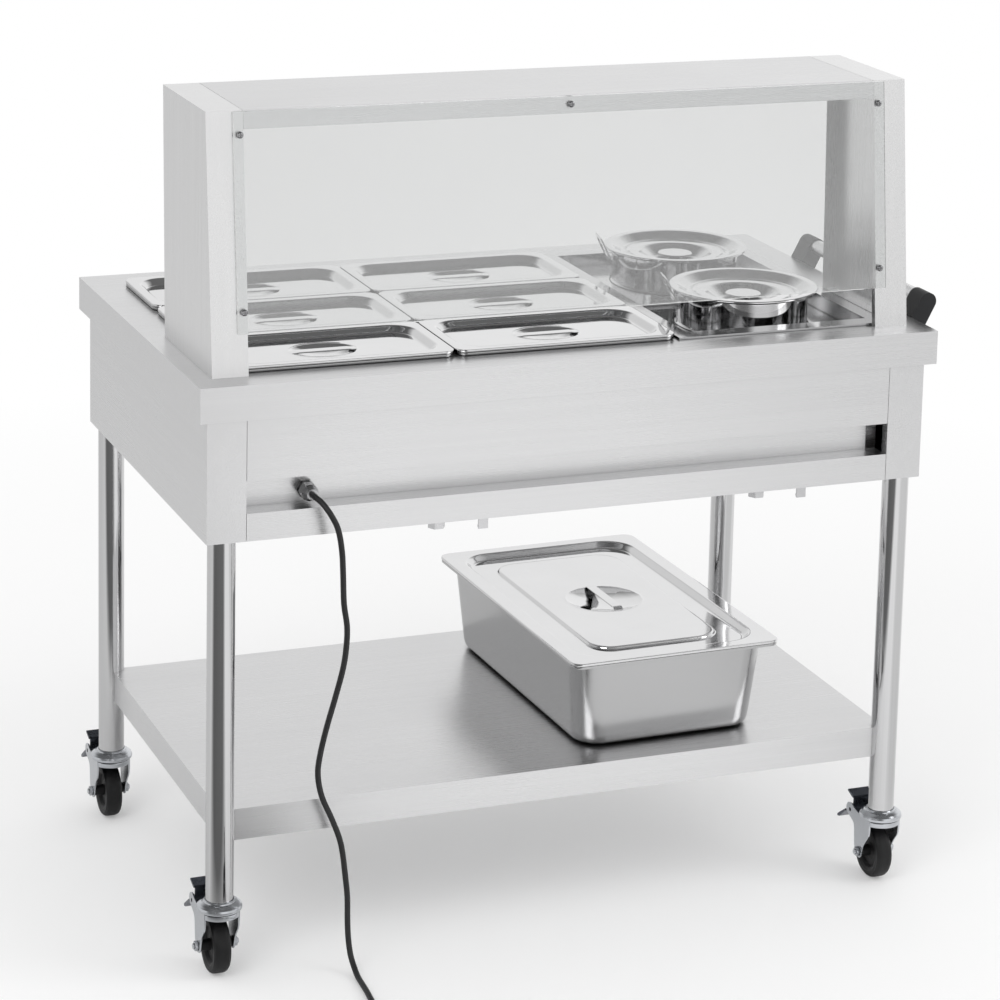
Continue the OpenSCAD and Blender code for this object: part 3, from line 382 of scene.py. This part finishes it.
NODE_LOOKS = {
    "counter_top": "sheet_x", "tanks": "sheet_x", "heaters": "heater", "drain_valves": "fitting",
    "side_panels": "sheet_y", "upper_front_panel": "sheet_x", "inner_front_panel": "sheet_x",
    "front_rail": "sheet_x", "bottom_cover": "sheet_x", "control_panel": "sheet_x", "pilot_lamps": "lamp",
    "legs": "tube", "under_shelf": "sheet_x", "caster_heads": "zinc", "adapter_trays": "tray",
    "guard_posts": "sheet_z", "guard_shelf": "cap", "guard_glass": "glass", "guard_screws": "screw",
    "handle_brackets": "bracket", "handle_tube": "grip", "cable_gland": "fitting", "cord_plug": "cord",
    "cord_tie": "tie",
}
FAMILY_LOOKS = {
    "drain_lever": "fitting", "knob": "knob", "fork": "zinc", "wheel": "rubber", "pedal": "pedal",
    "pan": "ware", "pot": "pot", "shelf_": "ware", "power_cord": "cord", "cord_coil": "cord",
}


def look_of(name):
    """A node's own look, or that of the family whose name it starts with."""
    if name in NODE_LOOKS:
        return LOOKS[NODE_LOOKS[name]]
    return next(LOOKS[look] for start, look in FAMILY_LOOKS.items() if name.startswith(start))


for node_name, node in NODES.items():
    for material_slot in node.material_slots:
        material_slot.material = look_of(node_name)
cable.data.materials.append(LOOKS["cord"])


# Rings and lofts, in millimetres about a piece's own middle
def rect_ring(half_x, half_y, r, z, arc_steps=10, side_steps=4):
    """A rounded rectangle, with the same number of points whatever its size."""
    points = []
    for k, (sx, sy) in enumerate(((1, 1), (-1, 1), (-1, -1), (1, -1))):
        cx, cy = sx * (half_x - r), sy * (half_y - r)
        for i in range(arc_steps + 1):
            a = math.pi / 2 * (k + i / arc_steps)
            points.append((cx + r * math.cos(a), cy + r * math.sin(a), z))
        tx, ty = ((-1, 1), (-1, -1), (1, -1), (1, 1))[k]
        a = math.pi / 2 * (k + 1)
        ex, ey = tx * (half_x - r) + r * math.cos(a), ty * (half_y - r) + r * math.sin(a)
        bx, by = points[-1][:2]
        for j in range(1, side_steps):
            points.append((bx + (ex - bx) * j / side_steps, by + (ey - by) * j / side_steps, z))
    return points


def rect_rings(half_x, half_y, corner, steps, base=0, **counts):
    """A ring for each step of a profile: its inset, change of corner radius and height."""
    return [rect_ring(half_x - inset, half_y - inset, corner + change, base + z, **counts)
            for inset, change, z in steps]


def oval_ring(like, half_x, half_y, a, b, z):
    """An ellipse whose points face those of the ring it joins."""
    angles = [math.atan2(y / half_y, x / half_x) for x, y, _ in like]
    return [(a * math.cos(t), b * math.sin(t), z) for t in angles]


def round_ring(r, z, count=96):
    angles = [2 * math.pi * k / count for k in range(count)]
    return [(r * math.cos(t), r * math.sin(t), z) for t in angles]


def blend_ring(p, q, share, z):
    """A ring part of the way from one ring to another."""
    return [(a[0] + (b[0] - a[0]) * share, a[1] + (b[1] - a[1]) * share, z) for a, b in zip(p, q)]


def loft(rings, cap=None, closed=False):
    """Quads between neighbouring rings, ring to ring, and a fan to a middle point."""
    count = len(rings[0])
    verts = [p for ring in rings for p in ring]
    faces = []
    pairs = len(rings) if closed else len(rings) - 1
    for i in range(pairs):
        a, b = i * count, (i + 1) % len(rings) * count
        faces += [(a + k, a + (k + 1) % count, b + (k + 1) % count, b + k) for k in range(count)]
    if cap is not None:
        last = (len(rings) - 1) * count
        verts.append(cap)
        faces += [(last + k, last + (k + 1) % count, len(verts) - 1) for k in range(count)]
    return verts, faces


def bar(rings):
    """A loft with a flat face at each end."""
    verts, faces = loft(rings)
    count = len(rings[0])
    faces.append(tuple(range(count)))
    faces.append(tuple(reversed(range(len(verts) - count, len(verts)))))
    return verts, faces


def lathe(profile):
    """A turned shell: rings up the outside and down the inside, closed at both middles."""
    rings = [round_ring(r, z) for r, z in profile]
    verts, faces = loft(rings, (0, 0, profile[-1][1]))
    verts.append((0, 0, profile[0][1]))
    count = len(rings[0])
    faces += [((k + 1) % count, k, len(verts) - 1) for k in range(count)]
    return verts, faces


def join(*parts):
    """Several forms as one."""
    verts, faces = [], []
    for v, f in parts:
        base = len(verts)
        verts += v
        faces += [tuple(i + base for i in q) for q in f]
    return verts, faces


def piece(name, form, spot, look, body, turn=0.0, wall=0.0, sharp=40, node=None):
    """A named piece at a spot of the table, riding on its body and standing for a node if it has one."""
    c, s = math.cos(turn), math.sin(turn)
    verts, faces = form
    moved = [at(spot[0] + x * c - y * s, spot[1] + x * s + y * c, spot[2] + z) for x, y, z in verts]
    mesh = bpy.data.meshes.new(name)
    mesh.from_pydata(moved, [], faces)
    mesh.validate()
    mesh.shade_smooth()
    mesh.set_sharp_from_angle(angle=math.radians(sharp))
    mesh.materials.append(LOOKS[look])
    made = added(name, mesh)
    if wall:
        sheet = made.modifiers.new("wall", "SOLIDIFY")
        sheet.thickness = wall / 1000
        sheet.offset = -1
        sheet.use_even_offset = True
    even = made.modifiers.new("flat_faces", "WEIGHTED_NORMAL")
    even.keep_sharp = True
    even.weight = 80
    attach(made, body)
    if node:
        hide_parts(node)


# Pressed ware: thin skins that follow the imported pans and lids. Profile steps are as in rect_rings.
WARE_SHEET = 1.0
FLANGE_CORNER = 17
RIM_Z = 4.6
LID_UP = 8.3
LID_EDGE = ((0, 0, -3.4), (0, 0, -1.3), (0.3, -0.2, -0.4), (1.1, -0.6, 0), (2.2, -1, 0))
LID_WALL = ((-3, 1, 0), (-1.2, 0, -0.15), (0, 0, -0.7), (1.1, -0.5, -1.8), (2, -1, -3), (5.2, -3, -7),
            (6.4, -3.8, -8.1), (8, -4.8, -8.8), (10, -6, -9), (12.5, -7, -9))
LID_PANEL = ((-3, 3, -9), (-1.6, 1.6, -8.8), (-0.7, 0.7, -8), (-0.2, 0.2, -6.8), (0.5, -0.5, -5.7),
             (1.6, -1.6, -5.1), (3.2, -3.2, -5), (6, -6, -5))
BOWL_RIM = ((4, 0), (2.6, 0.35), (1.0, 0.5), (-0.4, 0.15), (-1.8, -0.9))
BOWL_SHARES = (0.94, 0.86, 0.75, 0.6, 0.42, 0.2)
BOWL_EDGE, BOWL_DEPTH = 0.6, 8.2
STRAP_W, STRAP_T = 15, 1.8
PAN_EDGE = ((0, 0, 0.4), (0, 0, 3.3), (0.4, -0.2, 4.2), (1.2, -0.6, RIM_Z), (2.2, -1, RIM_Z))
PAN_SHOULDER = ((-3, 1, RIM_Z), (-0.8, 0, 4.3), (0.5, 0, 3.2), (1, -1, 1))
PAN_BOTTOM = ((0, -2, 18), (0.7, -2, 13), (2.2, -3, 8), (4.6, -5, 4.6), (8, -8, 2.2), (12.5, -12, 1.05),
              (18, -16, 1))


def strap_bar(length, z_low, z_top, along_y):
    """The bridge handle of a lid: a bent bar with rounded edges and feet in the bowl's rim."""
    h = length / 2
    path = [(-h, z_low), (-h + 3, z_low + 0.2), (-h + 6, z_low + 0.35 * (z_top - z_low)),
            (-h + 9, z_top - 0.7), (-h + 13, z_top), (-h * 0.4, z_top), (0, z_top)]
    path += [(-x, z) for x, z in reversed(path[:-1])]
    w = STRAP_W / 2
    section = [(-w, -STRAP_T * 0.5), (-w + 0.5, -STRAP_T), (w - 0.5, -STRAP_T), (w, -STRAP_T * 0.5),
               (w - 0.5, 0), (-w + 0.5, 0)]
    rings = []
    for i, (x, z) in enumerate(path):
        x0, z0 = path[max(i - 1, 0)]
        x1, z1 = path[min(i + 1, len(path) - 1)]
        slope = math.atan2(z1 - z0, x1 - x0)
        ring = [(x - v * math.sin(slope), u, z + v * math.cos(slope)) for u, v in section]
        rings.append([(-y, q, r) for q, y, r in ring] if along_y else ring)
    return bar(rings)


def lid_form(half_x, half_y, recess, panel, bowl, strap_z, along_y):
    """A lid's skin and its strap: edge, flange, sloped wall, raised panel if any, and bowl."""
    rings = rect_rings(half_x, half_y, FLANGE_CORNER, LID_EDGE) + rect_rings(*recess, LID_WALL)
    inner, profile = recess, LID_WALL
    if panel:
        rings += rect_rings(*panel, LID_PANEL)
        inner, profile = panel, LID_PANEL
    inset, _, floor_z = profile[-1]
    last = rings[-1]

    def oval(a, b, z):
        return oval_ring(last, inner[0] - inset, inner[1] - inset, a, b, z)

    bowl_a, bowl_b = bowl
    rim = [oval(bowl_a + grow, bowl_b + grow, floor_z + rise) for grow, rise in BOWL_RIM]
    rings += [blend_ring(last, rim[0], share, floor_z) for share in (0.5, 0.9)] + rim
    for share in BOWL_SHARES:
        sink = (BOWL_DEPTH - BOWL_EDGE) * (1 - share * share) ** 0.75 + BOWL_EDGE
        rings.append(oval((bowl_a - 3) * share, (bowl_b - 3) * share, floor_z - sink))
    skin = loft(rings, (0, 0, floor_z - BOWL_DEPTH))
    strap_l = 2 * (bowl_b if along_y else bowl_a) + 4
    return skin, strap_bar(strap_l, floor_z + 0.2, strap_z, along_y)


def pan_form(half_x, half_y, inner, taper, depth):
    """Rolled edge, flange, rounded shoulder, drawn walls and a rounded bottom: the inner face's skin."""
    inner_x, inner_y, corner = inner
    bottom_z = RIM_Z - depth
    rings = rect_rings(half_x, half_y, FLANGE_CORNER, PAN_EDGE) + rect_rings(*inner, PAN_SHOULDER)
    rings += rect_rings(inner_x - 1 - taper, inner_y - 1 - taper, corner - 1, PAN_BOTTOM, bottom_z)
    return loft(rings, (0, 0, bottom_z + 1))


def pan_and_lid(names, bodies, spot, pan, lid, turn=0.0):
    """A pan, the lid on it and the lid's strap, each standing where its body rests."""
    pan_name, lid_name, strap_name = names
    pan_body, lid_body = bodies
    lid_skin, strap = lid
    over = (spot[0], spot[1], spot[2] + LID_UP)
    piece(pan_name, pan, spot, "satin", pan_body, turn=turn, wall=WARE_SHEET, node=pan_body)
    piece(lid_name, lid_skin, over, "ware", lid_body, turn=turn, wall=WARE_SHEET, node=lid_body)
    piece(strap_name, strap, over, "ware", lid_body, turn=turn)


# Six one-third size pans in wells 1 and 2. Recess, panel and inner are half lengths and a corner radius.
EDGE_ROOM = 0.7
WELL_X = [END_LAND + WELL_PITCH * (k + 0.5) for k in range(3)]
ROW_Y = [COUNTER_W / 2 + ROW_PITCH * k for k in (-1, 0, 1)]
HALF_L, HALF_W = PAN_L / 2, PAN_W / 2
PAN_SPOTS = [(x, y, COUNTER_H + SEAT) for y in ROW_Y for x in WELL_X[:2]]
third_pan = pan_form(HALF_L - EDGE_ROOM, HALF_W - EDGE_ROOM, inner=(150.5, 76, 30), taper=5,
                     depth=PAN_DEPTH)
third_lid = lid_form(HALF_L, HALF_W, recess=(148, 73.5, 36), panel=None, bowl=(47, 36), strap_z=-7.6,
                     along_y=False)
for n, spot in enumerate(PAN_SPOTS, start=1):
    pan_and_lid((f"pressed_pan_{n}", f"pressed_lid_{n}", f"lid_strap_{n}"), (f"pan_{n}", f"pan_lid_{n}"),
                spot, third_pan, third_lid)

# The full size pan on the under-shelf, turned a little as in the photo.
FULL_HALF_L = FULL_PAN_L / 2
FULL_SPOT = (717, 330, SHELF_Z + SEAT + FULL_PAN_DEPTH - RIM_Z)
full_pan = pan_form(HALF_L - EDGE_ROOM, FULL_HALF_L - EDGE_ROOM, inner=(150.5, 253, 42), taper=11,
                    depth=FULL_PAN_DEPTH)
full_lid = lid_form(HALF_L, FULL_HALF_L, recess=(138.5, 243, 46), panel=(99.5, 199, 34), bowl=(57, 57),
                    strap_z=-0.4, along_y=True)
pan_and_lid(("pressed_shelf_pan", "pressed_shelf_lid", "shelf_lid_strap"), ("shelf_pan", "shelf_lid"),
            FULL_SPOT, full_pan, full_lid, math.radians(1.4))

# Fork of a caster, about its swivel's axis and over the floor. The axle lies off that axis, along y.
PLATE = 2.5
CHEEK_X = 22.5
CHEEK_OUT = CHEEK_X + PLATE
CROWN_TOP = 98
CROWN = ((12, 0.3), (27.5, 0.3), (28.6, 1), (29, 2.4), (29, 7), (28.5, 8), (27.2, 8), (26.7, 7), (26.5, 4),
         (25.6, 2.8), (12, 2.8))
AXLE_Y, AXLE_Z, AXLE_R = 17, 40, 4
NUT_R, NUT_T, BOLT_OUT = 7, 5, 7
CUT_IN = 0.4
PLATE_EASE, BOSS_EASE = 0.4, 0.5
CHEEK = [(-14.5, 97.6), (-14.5, 84), (-13.4, 76), (-10.5, 69.5), (-6, 64), (-1, 58), (3, 51.5), (6, 44),
         (7.6, 38), (9.4, 33.6), (12.6, 31.2), (17, 30.4), (21.4, 31.2), (25, 33.6), (28.4, 38), (30.6, 46),
         (32, 58), (33, 70), (35, 77), (40, 80), (48, 83), (56, 86), (59.2, 88.6), (60.6, 92), (60, 96.6),
         (57, 101), (51, 103.6), (45, 103.6), (37, 100.6), (30, 98.8), (24, 97.6)]


def slab(outline, ends, edge):
    """A plate between two places along x, with eased edges, from an outline in y and z."""
    cy = sum(p[0] for p in outline) / len(outline)
    cz = sum(p[1] for p in outline) / len(outline)

    def ring(x, inset):
        out = []
        for y, z in outline:
            d = math.hypot(y - cy, z - cz)
            out.append((x, y + (cy - y) * inset / d, z + (cz - z) * inset / d))
        return out

    x0, x1 = sorted(ends)
    return bar([ring(x0, edge), ring(x0 + edge, 0), ring(x1 - edge, 0), ring(x1, edge)])


def disc(r, ends, count=32):
    """A round boss about the axle; six points make a bolt head."""
    angles = [2 * math.pi * k / count for k in range(count)]
    return slab([(AXLE_Y + r * math.cos(t), AXLE_Z + r * math.sin(t)) for t in angles], ends, BOSS_EASE)


def crown_arc(r, z, count=40):
    """The fork's round top, cut flat just inside the cheeks' outer faces."""
    cut = CHEEK_OUT - CUT_IN
    angles = [2 * math.pi * k / count for k in range(count)]
    return [(max(-cut, min(cut, r * math.cos(t))), r * math.sin(t), z) for t in angles]


def fork_form():
    """Round crown plate with a turned-down lip, two cheeks, and the axle with its bolt heads."""
    parts = [loft([crown_arc(r, CROWN_TOP - drop) for r, drop in CROWN], closed=True)]
    for side in (-1, 1):
        parts.append(slab(CHEEK, (side * CHEEK_X, side * CHEEK_OUT), PLATE_EASE))
        parts.append(disc(NUT_R, (side * CHEEK_OUT, side * (CHEEK_OUT + NUT_T)), 6))
        parts.append(disc(AXLE_R, (side * (CHEEK_OUT + NUT_T - 0.2), side * (CHEEK_OUT + BOLT_OUT))))
    parts.append(disc(AXLE_R, (-CHEEK_X, CHEEK_X)))
    return join(*parts)


fork = fork_form()
LEG_SPOTS = [(x, y) for y in (LEG_Y, COUNTER_W - LEG_Y) for x in (LEG_X, COUNTER_L - LEG_X)]
for number, (x, y) in enumerate(LEG_SPOTS, start=1):
    piece(f"pressed_fork_{number}", fork, (x, y, 0), "zinc", f"fork_{number}", sharp=30,
          node=f"fork_{number}")

# Pots: turned shells with a bead on the tray, and the one loop handle that the photo shows.
POT_TOP = COUNTER_H + POT_RIM
POT_FOOT = POT_TOP - POT_H
BEAD_Z = TRAY_FLOOR_Z + SEAT
POT_SHEET = 1.2
LOOP_HALF_X, LOOP_HALF_Y, LOOP_CORNER, LOOP_REACH = 19, 32, 14, 15
LOOP_OUT, LOOP_DOWN = 9, 12
LOOP_LEAN, LOOP_TURN = math.radians(65), math.radians(168)
LOOP_SECTION = ((0, 0.7), (0, -0.7), (-0.7, -1.3), (-5.8, -1.3), (-6.5, -0.7), (-6.5, 0.7), (-5.8, 1.3),
                (-0.7, 1.3))
FOOT_HALF_X, FOOT_HALF_Y, FOOT_CORNER, FOOT_IN = 5.4, 12, 2, 4.5
FOOT_STEPS = ((0.8, 0, -5), (0, 0, -4.2), (0, 0, 0.2), (0.8, 0, 0.9))


def handle_loop(radius, z):
    """A flat loop on a short foot, leaning out from the pot."""
    c, s = math.cos(LOOP_LEAN), math.sin(LOOP_LEAN)
    rings = []
    for grow, lift in LOOP_SECTION:
        ring = []
        for x, y, _ in rect_ring(LOOP_HALF_X + grow, LOOP_HALF_Y + grow, LOOP_CORNER + grow * 0.7, 0, 6, 2):
            u = LOOP_REACH + x
            ring.append((radius + u * c - lift * s, y, z + u * s + lift * c))
        rings.append(ring)
    foot_rings = rect_rings(FOOT_HALF_X, FOOT_HALF_Y, FOOT_CORNER, FOOT_STEPS, z, arc_steps=4, side_steps=2)
    foot, foot_faces = loft(foot_rings, (0, 0, z + FOOT_STEPS[-1][2]))
    foot = [(x + radius - FOOT_IN, y, q) for x, y, q in foot]
    c, s = math.cos(LOOP_TURN), math.sin(LOOP_TURN)
    verts, faces = join(loft(rings, closed=True), (foot, foot_faces))
    return [(x * c - y * s, x * s + y * c, q) for x, y, q in verts], faces


def pot_form():
    """The shell from the middle of its foot up to the rim and down inside, with its handle."""
    outside = [(-9, 0), (-6, 0.6), (-2.6, 2.8), (-0.8, 5.8), (0, 10)]
    bead = [(0, 0), (2.6, 0), (3, 0.6), (2.4, 1.6), (0, 3)]
    rim = [(0, -4), (2, -2), (3, -0.9), (2.6, 0), (-0.6, 0), (-POT_SHEET, -0.7)]
    inside = [(-POT_SHEET, 10), (-3, 4), (-8, 1.2)]
    profile = [(POT_R + grow, base + rise)
               for base, steps in ((POT_FOOT, outside), (BEAD_Z, bead), (POT_TOP, rim), (POT_FOOT, inside))
               for grow, rise in steps]
    return join(lathe(profile), handle_loop(POT_R + LOOP_OUT, POT_TOP - LOOP_DOWN))


pot = pot_form()
for name, side, drop in (("front", -1, POT_DROP), ("rear", 1, 0)):
    y = COUNTER_W / 2 + side * POT_PITCH / 2
    piece(f"turned_pot_{name}", pot, (WELL_X[2], y, -drop), "pot", f"pot_{name}", node=f"pot_{name}")

# Studio: a pale floor, two soft lamps, and surroundings that shiny metal sees.
# Each row has the direction, the brightness there, and the cosines between which it is reached.
DIM_SIDES = (
    ((-0.669, -0.743, 0), 0.15, 0.73, 0.86),
    ((-0.922, 0.386, 0), 0.78, -0.1, 0.6),
    ((0, 0, 1), 0.16, 0.45, 0.72),
    ((0.866, -0.5, 0), 0.76, 0.76, 0.87),
)
FLOOR_HALF, FLOOR_Z = 20, -0.0004
SHADOW_R, WHITE_R = 0.9, 2.6
FILL = 0.86
TABLE_MID = (0, 0, 0.55)
LAMP_AIM = Vector((0, 0, 0.6))


def surroundings(t, ray):
    """What shiny metal sees: bright studio walls, softer sides, and a dim room in front and above."""
    unit = t.filled("VectorMath", "NORMALIZE", ray).outputs[0]
    light = 1.0
    for axis, darkest, start, end in DIM_SIDES:
        toward = t.filled("VectorMath", "DOT_PRODUCT", unit, axis).outputs["Value"]
        light = t.number("MULTIPLY", light, t.span(toward, 1.0, darkest, start, end))
    return light


def floor_paint():
    """Pale floor: keeps the shadow, runs out to white for the eye, and dims in front for shiny metal."""
    t = Paint("pale_floor")
    cloud = t.noise(0.6, t.coords(EVEN), 2.0)
    spot = t.new("TexCoord").outputs["Object"]
    from_table = t.filled("VectorMath", "SUBTRACT", spot, TABLE_MID).outputs[0]
    path = t.new("LightPath")
    lost = t.number("SUBTRACT", 1.0, surroundings(t, from_table))
    dimmed = t.number("SUBTRACT", 1.0, t.number("MULTIPLY", path.outputs["Is Glossy Ray"], lost))
    t.use(Base_Color=t.number("MULTIPLY", t.span(cloud, 0.965, 0.97), dimmed), Roughness=0.9)
    far = t.filled("VectorMath", "LENGTH", spot).outputs["Value"]
    seen = t.number("MULTIPLY", path.outputs["Is Camera Ray"], t.span(far, 0.25, 1.0, SHADOW_R, WHITE_R))
    white = t.new("Emission", Color=WHITE, Strength=1.0)
    return t.use_mixed(seen, t.shader.outputs[0], white.outputs[0])


def lay_floor():
    mesh = bpy.data.meshes.new("floor")
    h = FLOOR_HALF
    mesh.from_pydata([(-h, -h, 0), (h, -h, 0), (h, h, 0), (-h, h, 0)], [], [(0, 1, 2, 3)])
    mesh.materials.append(floor_paint())
    made = added("floor", mesh)
    made.location = (0, 0, FLOOR_Z)


def lamp(name, spot, size, power):
    """A rectangular lamp that faces the table."""
    data = bpy.data.lights.new(name, "AREA")
    data.shape = "RECTANGLE"
    data.size, data.size_y = size
    data.energy = power
    made = added(name, data)
    made.location = spot
    made.rotation_euler = (LAMP_AIM - Vector(spot)).to_track_quat("-Z", "Y").to_euler()


def studio_world():
    """White for the eye and through glass, a soft fill for matt faces, the surroundings for shiny ones."""
    world = bpy.data.worlds.new("studio")
    bpy.context.scene.world = world
    t = Tree(world)
    fill = t.new("Background", Color=WHITE, Strength=FILL)
    seen = t.new("Background", Color=WHITE, Strength=1.0)
    shine = surroundings(t, t.new("TexCoord").outputs["Generated"])
    glint = t.new("Background", Color=WHITE, Strength=shine)
    path = t.new("LightPath")
    plain_ray = t.number("MAXIMUM", path.outputs["Is Camera Ray"], path.outputs["Is Transmission Ray"])
    plain = t.mix(plain_ray, fill.outputs[0], seen.outputs[0])
    t.new("OutputWorld", Surface=t.mix(path.outputs["Is Glossy Ray"], plain, glint.outputs[0]))


lay_floor()
lamp("soft_left", spot=(-3.2, -3.0, 3.6), size=(2.4, 2.4), power=60)
lamp("soft_right", spot=(3.4, -2.4, 3.0), size=(2.0, 2.4), power=40)
studio_world()
bpy.context.scene.view_settings.view_transform = "Standard"
